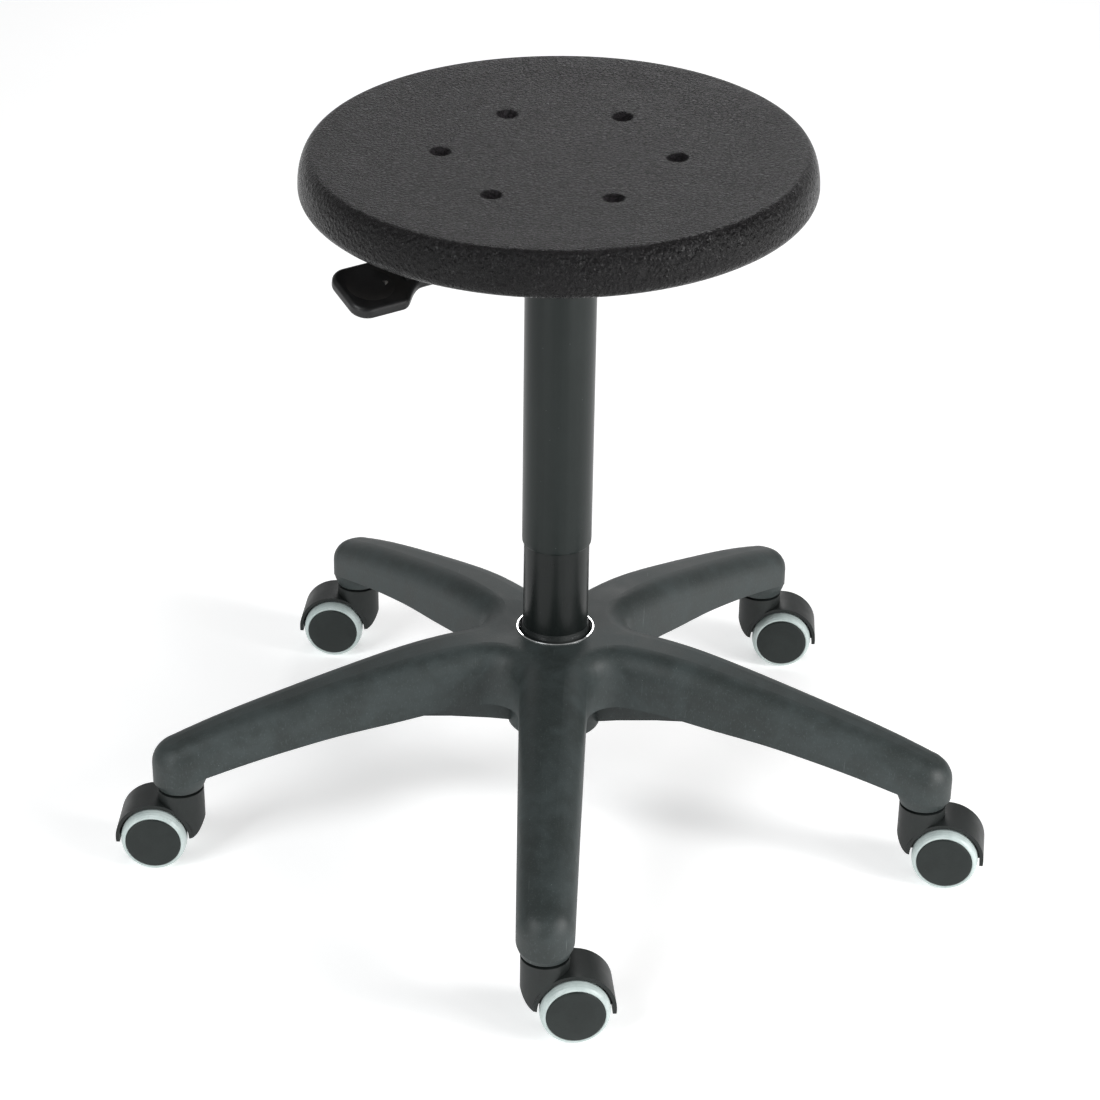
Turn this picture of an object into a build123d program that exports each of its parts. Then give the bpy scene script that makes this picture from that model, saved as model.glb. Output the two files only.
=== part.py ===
# Height-adjustable swivel stool: round dished seat, gas-lift column with a
# telescoping cover tube, five-leg star base and five twin-wheel casters.
#
# Frame: +Z up, floor at z = 0, origin on the floor in the middle of the
# bounding box.  The parts are drawn about the column axis and moved by
# COLUMN_X, COLUMN_Y when they are written out.  One leg points along -Y.
# All lengths in millimetres.
#
# What was worked out beforehand:
#  - 50 mm stand tube and 50 mm caster wheels set the scale
#  - caster stems sit on a 592 mm circle, the base measures about 640 mm across
#  - the seat is 371 mm across, about 34 mm thick at the rim, dished 8 mm, and
#    sits on a plate whose socket leans it 3.5 degrees; its rim is 546 mm up
#  - the cover tube ends 232 mm above the floor, which leaves 65 mm of downward
#    travel before it would reach the collar on the hub
import math
import os

from build123d import *

os.makedirs("parts", exist_ok=True)

# ----------------------------------------------------------------- dimensions
# column axis in the finished frame
COLUMN_X = -0.884
COLUMN_Y = 27.112

# star base
LEGS = 5
STEM_CIRCLE_R = 296.0      # caster stems from the column axis
TIP_R = 20.7               # leg end radius in plan
LEG_TAPER = 1.278          # degrees each side
LEG_W0 = 27.3              # half width of a leg run back to the axis
VALLEY_R = 24.0            # plan fillet between neighbouring legs
HUB_TOP = 157.0
SHOULDER_R = 17.5          # rounding along the top of the legs
WALL = 3.4
BOSS_R = 17.5
BOSS_BOTTOM = 63.5
BOSS_CORE_R = 12.0         # thick wall round each stem socket above the boss
RIB = 3.0
BARREL_R = 36.0
BARREL_BOTTOM = 76.0

# stand column
SLEEVE_R = 30.25
SLEEVE_BORE = 28.6
TUBE_R = 25.0
TUBE_FOOT_R = 23.5
TUBE_BOTTOM = 70.0
TUBE_TOP = 330.0
TAPER_TOP = 147.0
TUBE_WALL = 1.8

# gas lift
CYL_R = 14.0
CYL_BORE = 12.6
CYL_BOTTOM = 165.0
CYL_TOP = 494.0
CYL_TAPER_Z = 456.0
CYL_TOP_R = 13.3
ROD_R = 5.0
ROD_BOTTOM = 62.0
PISTON_Z = 246.0
RUN = 0.05                 # running clearance of turning and sliding fits

# cover tube
COVER_R = 26.5
COVER_BORE = 25.5
COVER_BOTTOM = 232.0
COVER_TOP = 476.0

# seat (drawn level, then leaned as one piece)
SEAT_R = 185.3
SEAT_CREST = 546.8
SEAT_RIM_T = 34.2
SEAT_DISH = 7.8
SEAT_SHIFT_X = -3.0        # pad sits a little off the column axis
LEAN = 3.5                 # degrees
LEAN_UPHILL = 79.5         # azimuth of the high side
LEAN_Z = 526.8
CORE_R = 150.0
CORE_T = 12.0
DIMPLE_CIRCLE_R = 84.3
DIMPLE_MOUTH_R = 6.6
DIMPLE_DEPTH = 6.5
DIMPLE_TURN = -2.4
PLATE_T = 3.0
PLATE_HALF = 78.0
BOLT_POS = 58.0
SOCKET_R = 17.5
BRACKET_Z = 493.0
BRACKET_HALF = 30.0
BRACKET_BACK = -48.0
BRACKET_FRONT = 38.5

# height lever
LEVER_AZ = -147.0
LEVER_Z = 503.5
LEVER_DROP_Z = 473.5
LEVER_ROD_R = 4.0
PIVOT_U = 32.0
PIN_R = 2.5
HEAD_R = 3.4
PADDLE_U = 117.0
PADDLE_LEN = 63.0
PADDLE_HALF = 24.5
PADDLE_T = 10.0
PADDLE_TWIST = 15.0

# casters
TRAIL = 20.0
WHEEL_R = 25.0
CAP_R = 21.0
WHEEL_IN = 6.8
WHEEL_OUT = 23.8
HOOD_R = 29.3
HOOD_BORE = 26.6
HOOD_HALF = 17.0
HOOD_DROP = 3.6            # the trailing side of the hood ends this far below the axle
WEB_HALF = 6.2
TOWER_R = 17.4
TOWER_TOP = 61.6
STEM_R = 5.5
STEM_BOTTOM = 41.0
STEM_TOP = 92.0
AXLE_R = 3.0
# azimuth of each stem and the direction its caster trails in
CASTERS = [(-90.0, 6.0), (-18.0, -8.0), (54.0, -2.6), (126.0, 177.3), (198.0, 180.4)]


# -------------------------------------------------------------------- helpers
def ring_profile(points):
    """Closed profile in the XZ plane from (radius, z) points."""
    return make_face(Polyline([(r, 0, z) for r, z in points] + [(points[0][0], 0, points[0][1])]))


def turned(points):
    return revolve(ring_profile(points), Axis.Z, 360)


def tube(r_out, r_in, z0, z1):
    return turned([(r_in, z0), (r_out, z0), (r_out, z1), (r_in, z1)])


def disc(r, z0, z1):
    return turned([(0, z0), (r, z0), (r, z1), (0, z1)])


def block(x0, x1, y0, y1, z0, z1):
    return Pos((x0 + x1) / 2, (y0 + y1) / 2, (z0 + z1) / 2) * Box(x1 - x0, y1 - y0, z1 - z0)


def spin(shape, degrees):
    return shape.rotate(Axis.Z, degrees)


def lean(shape):
    """Put a level seat part into its leaned attitude."""
    a = math.radians(LEAN_UPHILL - 90.0)
    return shape.rotate(Axis((0, 0, LEAN_Z), (math.cos(a), math.sin(a), 0)), LEAN)


def polar(r, azimuth):
    a = math.radians(azimuth)
    return r * math.cos(a), r * math.sin(a)


def solid_of(shape):
    """A single solid, or the compound when there are several."""
    found = shape.solids()
    return found[0] if len(found) == 1 else Compound(children=list(found))


def save(shape, name):
    body = solid_of(shape).moved(Location((COLUMN_X, COLUMN_Y, 0)))
    export_step(body, "parts/" + name + ".step")


# ------------------------------------------------------------------ star base
def star_outline(tip, w0, valley):
    """Plan outline of the star with rounded leg ends and filleted valleys."""
    a = math.radians(LEG_TAPER)
    half = math.radians(180.0 / LEGS)
    s, c = math.sin(half), math.cos(half)
    d = (valley / math.cos(a) + w0) / (s + c * math.tan(a))
    nx, ny = math.sin(a), math.cos(a)
    cx, cy = d * c, d * s
    t = (cx - valley * nx, cy - valley * ny)
    mid = (cx - valley * c, cy - valley * s)
    end = (STEM_CIRCLE_R + tip * nx, tip * ny)
    step = 2 * half
    nxt = (t[0] * math.cos(step) + t[1] * math.sin(step),
           t[0] * math.sin(step) - t[1] * math.cos(step))
    edges = []
    for k in range(LEGS):
        turn = math.radians(-90.0) + k * step

        def at(p):
            return (p[0] * math.cos(turn) - p[1] * math.sin(turn),
                    p[0] * math.sin(turn) + p[1] * math.cos(turn))

        edges.append(Line(at((t[0], -t[1])), at((end[0], -end[1]))))
        edges.append(ThreePointArc(at((end[0], -end[1])), at((STEM_CIRCLE_R + tip, 0)), at(end)))
        edges.append(Line(at(end), at(t)))
        edges.append(ThreePointArc(at(t), at(mid), at(nxt)))
    return Face(Wire(edges))


TOP_LINE = [(44, 0.0), (66, -0.2), (105, -3.7), (145, -11.6), (185, -21.2),
            (225, -31.4), (264, -42.2), (300, -54.2), (330, -66.2)]
RIM_LINE = [(60, 112.0), (86, 111.4), (112, 108.9), (133, 105.9), (173, 101.0), (213, 94.0),
            (252, 85.6), (278, 79.0), (300, 73.2), (330, 65.6)]


def star_blank(tip, w0, valley, drop, shoulder):
    """Filled star under the arched top surface, shoulders rounded."""
    top = HUB_TOP - drop
    curve = Spline([(r, 0, top + dz) for r, dz in TOP_LINE], tangents=[(1, 0, 0), (5, 0, -2)])
    face = make_face([Line((0, 0, 40), (0, 0, top)), Line((0, 0, top), (44, 0, top)), curve,
                      Line((330, 0, top + TOP_LINE[-1][1]), (330, 0, 40)), Line((330, 0, 40), (0, 0, 40))])
    arch = revolve(face, Axis.Z, 360)
    prism = extrude(star_outline(tip, w0, valley), 130).moved(Location((0, 0, 38)))
    blank = (prism & arch).solids()[0]
    edges = []
    for e in blank.edges():
        a, b, m = e @ 0, e @ 1, e.center()
        if m.Z < 85 or math.hypot(m.X, m.Y) < 45:
            continue
        if math.hypot(a.X - b.X, a.Y - b.Y) < 1e-3:
            continue
        edges.append(e)
    return blank.fillet(shoulder, edges)


def below_rim():
    curve = Spline([(r, 0, z) for r, z in RIM_LINE], tangents=[(1, 0, 0), (4, 0, -1)])
    flat = RIM_LINE[0][1]
    face = make_face([Line((0, 0, 30), (0, 0, flat)), Line((0, 0, flat), (60, 0, flat)), curve,
                      Line((330, 0, 65.6), (330, 0, 30)), Line((330, 0, 30), (0, 0, 30))])
    return revolve(face, Axis.Z, 360)


def make_star_base():
    outer = star_blank(TIP_R, LEG_W0, VALLEY_R, 0.0, SHOULDER_R)
    inner = star_blank(TIP_R - WALL, LEG_W0 - WALL, VALLEY_R + WALL, WALL, SHOULDER_R - 3.0)
    shell = outer - below_rim() - inner

    # long rib down the middle of each leg, cross ribs between the walls
    rib_face = make_face(Polyline([(28, 0, 77.5), (53, 0, 84), (84, 0, 90.6), (105, 0, 94), (140, 0, 99.5),
                                   (175, 0, 101), (213, 0, 95.5), (252, 0, 87.5), (282, 0, 80), (282, 0, 170),
                                   (28, 0, 170), (28, 0, 77.5)]))
    rib = extrude(rib_face, RIB / 2, dir=(0, 1, 0), both=True)
    cross = None
    for r0, z0 in ((92, 109), (128, 107), (164, 103.5), (200, 98), (236, 90.5)):
        bar = block(r0 - RIB / 2, r0 + RIB / 2, -30, 30, z0 + 2.0, 170)
        cross = bar if cross is None else cross + bar
    ribs = None
    for k in range(LEGS):
        one = spin(rib + cross, -90 + 72 * k)
        ribs = one if ribs is None else ribs + one
    ribs = ribs & outer

    # middle barrel and the caster bosses
    barrel = disc(BARREL_R, BARREL_BOTTOM, HUB_TOP)
    body = shell + ribs + (barrel & outer)
    for az, _ in CASTERS:
        x, y = polar(STEM_CIRCLE_R, az)
        flank = Spline([(BOSS_R, 0, BOSS_BOTTOM + 0.6), (BOSS_R + 1.9, 0, 68.5), (TIP_R, 0, 77.0)],
                       tangents=[(0.45, 0, 1), (0, 0, 1)])
        boss = revolve(make_face([Line((0, 0, BOSS_BOTTOM), (BOSS_R - 0.6, 0, BOSS_BOTTOM)),
                                  Line((BOSS_R - 0.6, 0, BOSS_BOTTOM), (BOSS_R, 0, BOSS_BOTTOM + 0.6)), flank,
                                  Line((TIP_R, 0, 77.0), (TIP_R, 0, 84.0)), Line((TIP_R, 0, 84.0), (0, 0, 84.0)),
                                  Line((0, 0, 84.0), (0, 0, BOSS_BOTTOM))]), Axis.Z, 360).moved(Location((x, y, 0)))
        core = (disc(BOSS_CORE_R, 80.0, 110.0).moved(Location((x, y, 0)))) & outer
        body = body + boss + core
    # bore for the steel sleeve, sockets for the stem sleeves
    body = body - disc(SLEEVE_R, 40, 200)
    for az, _ in CASTERS:
        x, y = polar(STEM_CIRCLE_R, az)
        body = body - disc(7.2, 50, 94.5).moved(Location((x, y, 0)))
    return body


def at_stems(shape):
    out = []
    for az, _ in CASTERS:
        x, y = polar(STEM_CIRCLE_R, az)
        out.append(shape.moved(Location((x, y, 0))))
    return Compound(children=out)


star = make_star_base()
save(star, "star_base")

# steel sleeve in the hub, its bright lip shows around the tube
sleeve = turned([(SLEEVE_R, BARREL_BOTTOM), (SLEEVE_R, HUB_TOP + 0.4), (SLEEVE_R - 0.4, HUB_TOP + 0.8),
                 (SLEEVE_BORE + 0.3, HUB_TOP + 0.8), (SLEEVE_BORE, HUB_TOP + 0.3), (SLEEVE_BORE, TAPER_TOP + 1.0),
                 (TUBE_R, TAPER_TOP), (TUBE_R - 1.1, BARREL_BOTTOM)])
save(sleeve, "hub_sleeve")


def tube_radius(z):
    if z >= TAPER_TOP:
        return TUBE_R
    return TUBE_R - 1.1 * (TAPER_TOP - z) / (TAPER_TOP - BARREL_BOTTOM)


r_foot = tube_radius(TUBE_BOTTOM)
stand = turned([(r_foot, TUBE_BOTTOM), (TUBE_R, TAPER_TOP), (TUBE_R, TUBE_TOP),
                (TUBE_R - TUBE_WALL, TUBE_TOP), (TUBE_R - TUBE_WALL, TAPER_TOP), (r_foot - TUBE_WALL, TUBE_BOTTOM)])
save(stand, "stand_tube")

# closing plate at the foot of the tube, the rod stands on the bearing above it
r_in = r_foot - TUBE_WALL
r_in4 = tube_radius(TUBE_BOTTOM + 4.0) - TUBE_WALL
save(turned([(ROD_R + RUN, TUBE_BOTTOM), (r_in, TUBE_BOTTOM), (r_in4, TUBE_BOTTOM + 4.0),
             (ROD_R + RUN, TUBE_BOTTOM + 4.0)]), "tube_end_plate")

# dark collar where the tube enters the hub
save(turned([(TUBE_R, TAPER_TOP + 1.4), (TUBE_R + 1.2, TAPER_TOP + 1.4), (TUBE_R + 2.1, TAPER_TOP + 2.6),
             (TUBE_R + 2.4, TAPER_TOP + 4.4), (TUBE_R + 2.2, TAPER_TOP + 6.4), (TUBE_R + 1.4, TAPER_TOP + 9.5),
             (TUBE_R + 0.8, TAPER_TOP + 12.5), (TUBE_R + 0.45, TAPER_TOP + 15.0), (TUBE_R, TAPER_TOP + 15.0)]),
     "foot_collar")

# plastic bush that guides the gas cylinder
save(turned([(CYL_R + RUN, 255.0), (TUBE_R - TUBE_WALL, 255.0), (TUBE_R - TUBE_WALL, TUBE_TOP),
             (TUBE_R - 0.3, TUBE_TOP), (TUBE_R - 0.3, TUBE_TOP + 2.0), (CYL_R + RUN + 0.6, TUBE_TOP + 2.0),
             (CYL_R + RUN, TUBE_TOP + 1.4)]), "guide_bush")

# caster stems with their sockets
save(at_stems(turned([(0, STEM_BOTTOM), (STEM_R - 0.6, STEM_BOTTOM), (STEM_R, STEM_BOTTOM + 0.6),
                      (STEM_R, STEM_TOP - 1.5), (STEM_R - 1.5, STEM_TOP), (0, STEM_TOP)])), "caster_stems")
save(at_stems(tube(7.2, STEM_R, BOSS_BOTTOM + 0.5, 94.5)), "stem_sockets")

# -------------------------------------------------- turning rod of the gas lift
rod = turned([(0, ROD_BOTTOM), (ROD_R - 0.8, ROD_BOTTOM), (ROD_R, ROD_BOTTOM + 0.8), (ROD_R, 67.0),
              (ROD_R - 0.8, 67.0), (ROD_R - 0.8, 68.6), (ROD_R, 68.6), (ROD_R, PISTON_Z),
              (ROD_R - 1.5, PISTON_Z), (ROD_R - 1.5, PISTON_Z + 13.0), (0, PISTON_Z + 13.0)])
save(rod, "piston_rod")
save(turned([(ROD_R - 0.8, 67.1), (9.5, 67.1), (9.5, 68.5), (ROD_R - 0.8, 68.5)]), "rod_clip")
balls = []
for k in range(9):
    x, y = polar(9.2, 40 * k)
    balls.append(Pos(x, y, 78.9) * Sphere(2.3))
save(Compound(children=balls), "bearing_balls")
save(turned([(ROD_R, 81.2), (13.0, 81.2), (13.0, 84.0), (ROD_R, 84.0)]), "bearing_race_upper")
save(turned([(ROD_R, 84.0), (11.0, 84.0), (12.0, 86.0), (12.0, 92.0), (10.5, 95.0), (ROD_R, 95.0)]), "bump_stop")
save(turned([(ROD_R - 1.5, PISTON_Z), (CYL_BORE - RUN, PISTON_Z), (CYL_BORE - RUN, PISTON_Z + 10.0),
             (8.0, PISTON_Z + 12.0), (ROD_R - 1.5, PISTON_Z + 12.0)]), "gas_piston")
save(turned([(ROD_R + 0.4, 74.0), (13.0, 74.0), (13.0, 76.3), (ROD_R + 0.4, 76.3)]), "bearing_race_lower")

# ------------------------------------------------------- parts rising with seat
# pressure cylinder, hollow, with the taper that holds the seat
button_r = 4.0
cylinder = turned([(CYL_BORE, CYL_BOTTOM), (CYL_R, CYL_BOTTOM), (CYL_R, CYL_TAPER_Z), (CYL_TOP_R, CYL_TOP),
                   (button_r + RUN, CYL_TOP), (button_r + RUN, CYL_TOP - 16.0), (CYL_BORE - 3.0, CYL_TOP - 16.0),
                   (CYL_BORE - 3.0, CYL_TOP - 30.0), (CYL_BORE, CYL_TOP - 34.0)])
save(cylinder, "gas_cylinder")
save(turned([(ROD_R + RUN, CYL_BOTTOM + 0.5), (CYL_BORE, CYL_BOTTOM + 0.5), (CYL_BORE, CYL_BOTTOM + 17.0),
             (ROD_R + RUN, CYL_BOTTOM + 17.0)]), "rod_seal")
save(turned([(0, CYL_TOP - 15.0), (button_r, CYL_TOP - 15.0), (button_r, CYL_TOP + 4.2),
             (button_r - 1.0, CYL_TOP + 5.2), (0, CYL_TOP + 5.2)]), "valve_button")

save(turned([(COVER_BORE, COVER_BOTTOM), (COVER_R - 0.55, COVER_BOTTOM), (COVER_R - 0.15, COVER_BOTTOM + 1.2),
             (COVER_R, COVER_BOTTOM + 3.4), (COVER_R, COVER_TOP), (COVER_BORE, COVER_TOP)]), "cover_tube")


def taper_r(z):
    if z <= CYL_TAPER_Z:
        return CYL_R
    return CYL_R + (CYL_TOP_R - CYL_R) * (z - CYL_TAPER_Z) / (CYL_TOP - CYL_TAPER_Z)


save(turned([(CYL_R, 446.0), (COVER_BORE, 446.0), (COVER_BORE, 453.0), (CYL_R, 453.0)]), "cover_cap")

# conical socket of the seat plate
save(turned([(taper_r(458.0), 458.0), (SOCKET_R - 1.0, 458.0), (SOCKET_R, 459.0), (SOCKET_R, BRACKET_Z + 2.5),
             (taper_r(CYL_TOP), BRACKET_Z + 2.5), (taper_r(CYL_TOP), CYL_TOP)]), "plate_socket")

# seat plate, level frame: the top of the plate lies on the underside of the board
UNDER = SEAT_CREST - SEAT_RIM_T
plate_blank = extrude(RectangleRounded(2 * PLATE_HALF, 2 * PLATE_HALF, 16.0), -PLATE_T).moved(Location((0, 0, UNDER)))
bead = turned([(24.0, UNDER - PLATE_T), (27.0, UNDER - PLATE_T - 1.5), (34.0, UNDER - PLATE_T - 1.5),
               (37.0, UNDER - PLATE_T), (37.0, UNDER - PLATE_T + 0.5), (24.0, UNDER - PLATE_T + 0.5)])
plate = plate_blank
bolt_xy = [(sx * BOLT_POS, sy * BOLT_POS) for sx in (1, -1) for sy in (1, -1)]
for x, y in bolt_xy:
    plate = plate - disc(4.0, UNDER - 10, UNDER + 10).moved(Location((x, y, 0)))
save(lean(spin(plate, LEVER_AZ)), "seat_plate")

# channel under the plate that carries the socket and the lever pin
wall = 2.5
gap_z = UNDER - PLATE_T
channel = (block(BRACKET_BACK, BRACKET_FRONT, -BRACKET_HALF, BRACKET_HALF, BRACKET_Z, BRACKET_Z + wall)
           + block(BRACKET_BACK, BRACKET_FRONT, -BRACKET_HALF, -BRACKET_HALF + wall, BRACKET_Z, gap_z)
           + block(BRACKET_BACK, BRACKET_FRONT, BRACKET_HALF - wall, BRACKET_HALF, BRACKET_Z, gap_z)
           + block(BRACKET_BACK, BRACKET_BACK + wall, -BRACKET_HALF, BRACKET_HALF, BRACKET_Z, gap_z))
flange = (block(BRACKET_BACK, BRACKET_FRONT, -BRACKET_HALF - 10, -BRACKET_HALF, gap_z - wall, gap_z)
          + block(BRACKET_BACK, BRACKET_FRONT, BRACKET_HALF, BRACKET_HALF + 10, gap_z - wall, gap_z))
channel = channel + flange
pin_hole = (Pos(PIVOT_U, 0, LEVER_Z) * Rot(90, 0, 0) * Cylinder(PIN_R, 100))
channel = channel - pin_hole
channel = lean(spin(channel, LEVER_AZ)) - disc(SOCKET_R, 400, 505)
save(channel, "lever_bracket")

pin = Pos(PIVOT_U, 0, LEVER_Z) * Rot(90, 0, 0) * Cylinder(PIN_R, 2 * BRACKET_HALF + 3.0)
heads = (Pos(PIVOT_U, BRACKET_HALF + 1.5 + 0.75, LEVER_Z) * Rot(90, 0, 0) * Cylinder(HEAD_R, 1.5)
         + Pos(PIVOT_U, -BRACKET_HALF - 1.5 - 0.75, LEVER_Z) * Rot(90, 0, 0) * Cylinder(HEAD_R, 1.5))
save(lean(spin(pin + heads, LEVER_AZ)), "lever_pin")

# screws up through the plate into tee nuts in the board
bolts = []
nuts = []
for x, y in bolt_xy:
    head = extrude(RegularPolygon(6.6, 6), 5.0).moved(Location((x, y, gap_z - 5.0)))
    shank = disc(4.0, gap_z - 0.01, UNDER + 10.0).moved(Location((x, y, 0)))
    bolts.append(lean(spin(solid_of(head + shank), LEVER_AZ)))
    nut = turned([(4.0, UNDER), (5.6, UNDER), (5.6, UNDER + CORE_T - 1.6), (11.0, UNDER + CORE_T - 1.6),
                  (11.0, UNDER + CORE_T), (4.0, UNDER + CORE_T)]).moved(Location((x, y, 0)))
    nuts.append(lean(spin(solid_of(nut), LEVER_AZ)))
save(Compound(children=bolts), "plate_screws")
save(Compound(children=nuts), "tee_nuts")

# board moulded into the underside of the pad
core = disc(CORE_R, UNDER, UNDER + CORE_T).moved(Location((SEAT_SHIFT_X, 0, 0)))
for x, y in bolt_xy:
    hole = turned([(0, UNDER - 1), (5.6, UNDER - 1), (5.6, UNDER + CORE_T - 1.6), (11.0, UNDER + CORE_T - 1.6),
                   (11.0, UNDER + CORE_T + 1), (0, UNDER + CORE_T + 1)]).moved(Location((x, y, 0)))
    core = core - spin(hole, LEVER_AZ)
save(lean(core), "seat_board")

# moulded pad: dished top, upright rounded rim, board recess below
crest_r = SEAT_R - 11.3
top_pts = [(0, SEAT_CREST - SEAT_DISH + 0.4), (100, SEAT_CREST - SEAT_DISH + 0.4), (118, SEAT_CREST - 5.6),
           (135, SEAT_CREST - 3.9), (158, SEAT_CREST - 1.2), (crest_r, SEAT_CREST)]
rim_pts = []
for i in range(0, 13):
    t = math.radians(7.5 * i)
    rim_pts.append((crest_r + 11.3 * math.sin(t), SEAT_CREST - 25.1 * (1 - math.cos(t))))
low_pts = []
for i in range(0, 10):
    t = math.radians(10.0 * i)
    low_pts.append((SEAT_R - 12.0 + 12.0 * math.cos(t), UNDER + 10.0 - 10.0 * math.sin(t)))
top_edges = [Line((top_pts[i][0], 0, top_pts[i][1]), (top_pts[i + 1][0], 0, top_pts[i + 1][1]))
             for i in range(len(top_pts) - 1)]
rim_edges = [Line((a[0], 0, a[1]), (b[0], 0, b[1])) for a, b in zip(rim_pts, rim_pts[1:])]
low_edges = [Line((a[0], 0, a[1]), (b[0], 0, b[1])) for a, b in zip(low_pts, low_pts[1:])]
zc = UNDER + CORE_T
pad_edges = [Line((0, 0, zc), (0, 0, top_pts[0][1]))] + top_edges + rim_edges
if abs(rim_pts[-1][1] - low_pts[0][1]) > 1e-6:
    pad_edges.append(Line((rim_pts[-1][0], 0, rim_pts[-1][1]), (low_pts[0][0], 0, low_pts[0][1])))
pad_edges += low_edges + [Line((low_pts[-1][0], 0, UNDER), (CORE_R, 0, UNDER)),
              Line((CORE_R, 0, UNDER), (CORE_R, 0, zc)), Line((CORE_R, 0, zc), (0, 0, zc))]
pad = revolve(make_face(pad_edges), Axis.Z, 360)
dip_z = SEAT_CREST - SEAT_DISH + 0.9
for k in range(6):
    x, y = polar(DIMPLE_CIRCLE_R, DIMPLE_TURN + 60 * k)
    cup = turned([(0, dip_z - DIMPLE_DEPTH), (3.4, dip_z - DIMPLE_DEPTH), (4.4, dip_z - DIMPLE_DEPTH + 1.0),
                  (4.9, dip_z - 2.2), (DIMPLE_MOUTH_R, dip_z - 0.2), (DIMPLE_MOUTH_R + 0.8, dip_z + 3.0),
                  (0, dip_z + 3.0)])
    pad = pad - cup.moved(Location((x, y, 0)))
save(lean(pad.moved(Location((SEAT_SHIFT_X, 0, 0)))), "seat_pad")

# ---------------------------------------------------------------------- lever
path = FilletPolyline([(-7.0, 0, LEVER_Z), (44.0, 0, LEVER_Z), (74.0, 0, LEVER_DROP_Z),
                       (PADDLE_U + 30.0, 0, LEVER_DROP_Z)], radius=12.0)
rod_section = Plane(origin=(-7.0, 0, LEVER_Z), z_dir=(1, 0, 0)) * Circle(LEVER_ROD_R)
lever_rod = sweep(rod_section, path=path)
cross_tube = Pos(PIVOT_U, 0, LEVER_Z) * Rot(90, 0, 0) * Cylinder(5.4, 26.0)
lever_rod = lever_rod + cross_tube
lever_rod = lever_rod - (Pos(PIVOT_U, 0, LEVER_Z) * Rot(90, 0, 0) * Cylinder(PIN_R + RUN, 60.0))
save(lean(spin(lever_rod, LEVER_AZ)), "lever_rod")

# paddle: flat rounded blade with a thumb hollow and a sleeve over the rod
neck = 7.5
outline_pts = [(0, -neck), (6, -neck - 1.0), (13, -neck - 6.0), (20, -PADDLE_HALF + 3.5), (27, -PADDLE_HALF)]
side_a = Spline([(x, y) for x, y in outline_pts], tangents=[(1, 0), (1, 0)])
side_b = Spline([(x, -y) for x, y in reversed(outline_pts)], tangents=[(-1, 0), (-1, 0)])
end_r = 13.0
e0, e1 = PADDLE_LEN - end_r, PADDLE_HALF - end_r
blade_face = make_face([
    side_a,
    Line((27, -PADDLE_HALF), (e0, -PADDLE_HALF)),
    RadiusArc((e0, -PADDLE_HALF), (PADDLE_LEN, -e1), -end_r),
    Line((PADDLE_LEN, -e1), (PADDLE_LEN, e1)),
    RadiusArc((PADDLE_LEN, e1), (e0, PADDLE_HALF), -end_r),
    Line((e0, PADDLE_HALF), (27, PADDLE_HALF)),
    side_b,
    Line((0, neck), (0, -neck))])
blade = extrude(blade_face, PADDLE_T).moved(Location((0, 0, -PADDLE_T / 2)))
blade = blade.solids()[0]
try:
    blade = blade.fillet(3.6, [e for e in blade.edges() if abs((e @ 0).Z - (e @ 1).Z) < 1e-6
                               and e.center().X > 1.0])
except Exception:
    pass
hollow = Pos(41.0, 0, PADDLE_T / 2 + 47.0) * Sphere(50.0)
blade = blade - hollow
sleeve_tube = Pos(2.0, 0, 0) * Rot(0, 90, 0) * Cylinder(neck - 0.2, 26.0)
paddle = blade + sleeve_tube
bore = Pos(8.0, 0, 0) * Rot(0, 90, 0) * Cylinder(LEVER_ROD_R, 44.0)
paddle = paddle.rotate(Axis.X, -PADDLE_TWIST)
paddle = (paddle - bore).moved(Location((PADDLE_U, 0, LEVER_DROP_Z)))
save(lean(spin(paddle, LEVER_AZ)), "lever_paddle")


# -------------------------------------------------------------------- casters
def y_cylinder(r, x, z, y0, y1):
    return Pos(x, (y0 + y1) / 2, z) * Rot(90, 0, 0) * Cylinder(r, y1 - y0)


def make_housing():
    ax, az = TRAIL, WHEEL_R
    hood = y_cylinder(HOOD_R, ax, az, -HOOD_HALF, HOOD_HALF)
    hood = hood & (block(-40, 80, -40, 40, az + 1.0, 90) + block(ax + 5, 80, -40, 40, az - HOOD_DROP, 90))
    hood = solid_of(hood)
    tower = disc(TOWER_R, az - 2.0, TOWER_TOP)
    # side view of the tower: straight back that curves in below to the hood end
    side = make_face([
        Line((-TOWER_R - 1, 0, TOWER_TOP + 1), (-TOWER_R - 1, 0, 41.0)),
        Spline([(-TOWER_R - 1, 0, 41.0), (-TOWER_R + 0.3, 0, 35.0), (-14.4, 0, 29.6), (-9.0, 0, az - 0.4)],
               tangents=[(0, 0, -1), (1, 0, -0.5)]),
        Line((-9.0, 0, az - 0.4), (30, 0, az - 0.4)),
        Line((30, 0, az - 0.4), (30, 0, TOWER_TOP + 1)),
        Line((30, 0, TOWER_TOP + 1), (-TOWER_R - 1, 0, TOWER_TOP + 1))])
    side = extrude(side, 30, dir=(0, 1, 0), both=True)
    tower = tower & side
    # the tower stops at its own front face, no wider than the hood behind it
    web = y_cylinder(10.5, ax, az, -WEB_HALF, WEB_HALF) + block(ax - 10.5, ax + 10.5, -WEB_HALF, WEB_HALF, az, az + 24)
    body = hood + tower
    room = (y_cylinder(HOOD_BORE, ax, az, WEB_HALF, 40.0)
            + y_cylinder(HOOD_BORE, ax, az, -40.0, -WEB_HALF))
    body = (body - room) + web
    body = body - disc(STEM_R + RUN, STEM_BOTTOM - 0.4, 80.0)
    body = body - y_cylinder(AXLE_R, ax, az, -40, 40)
    return solid_of(body)


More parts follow.
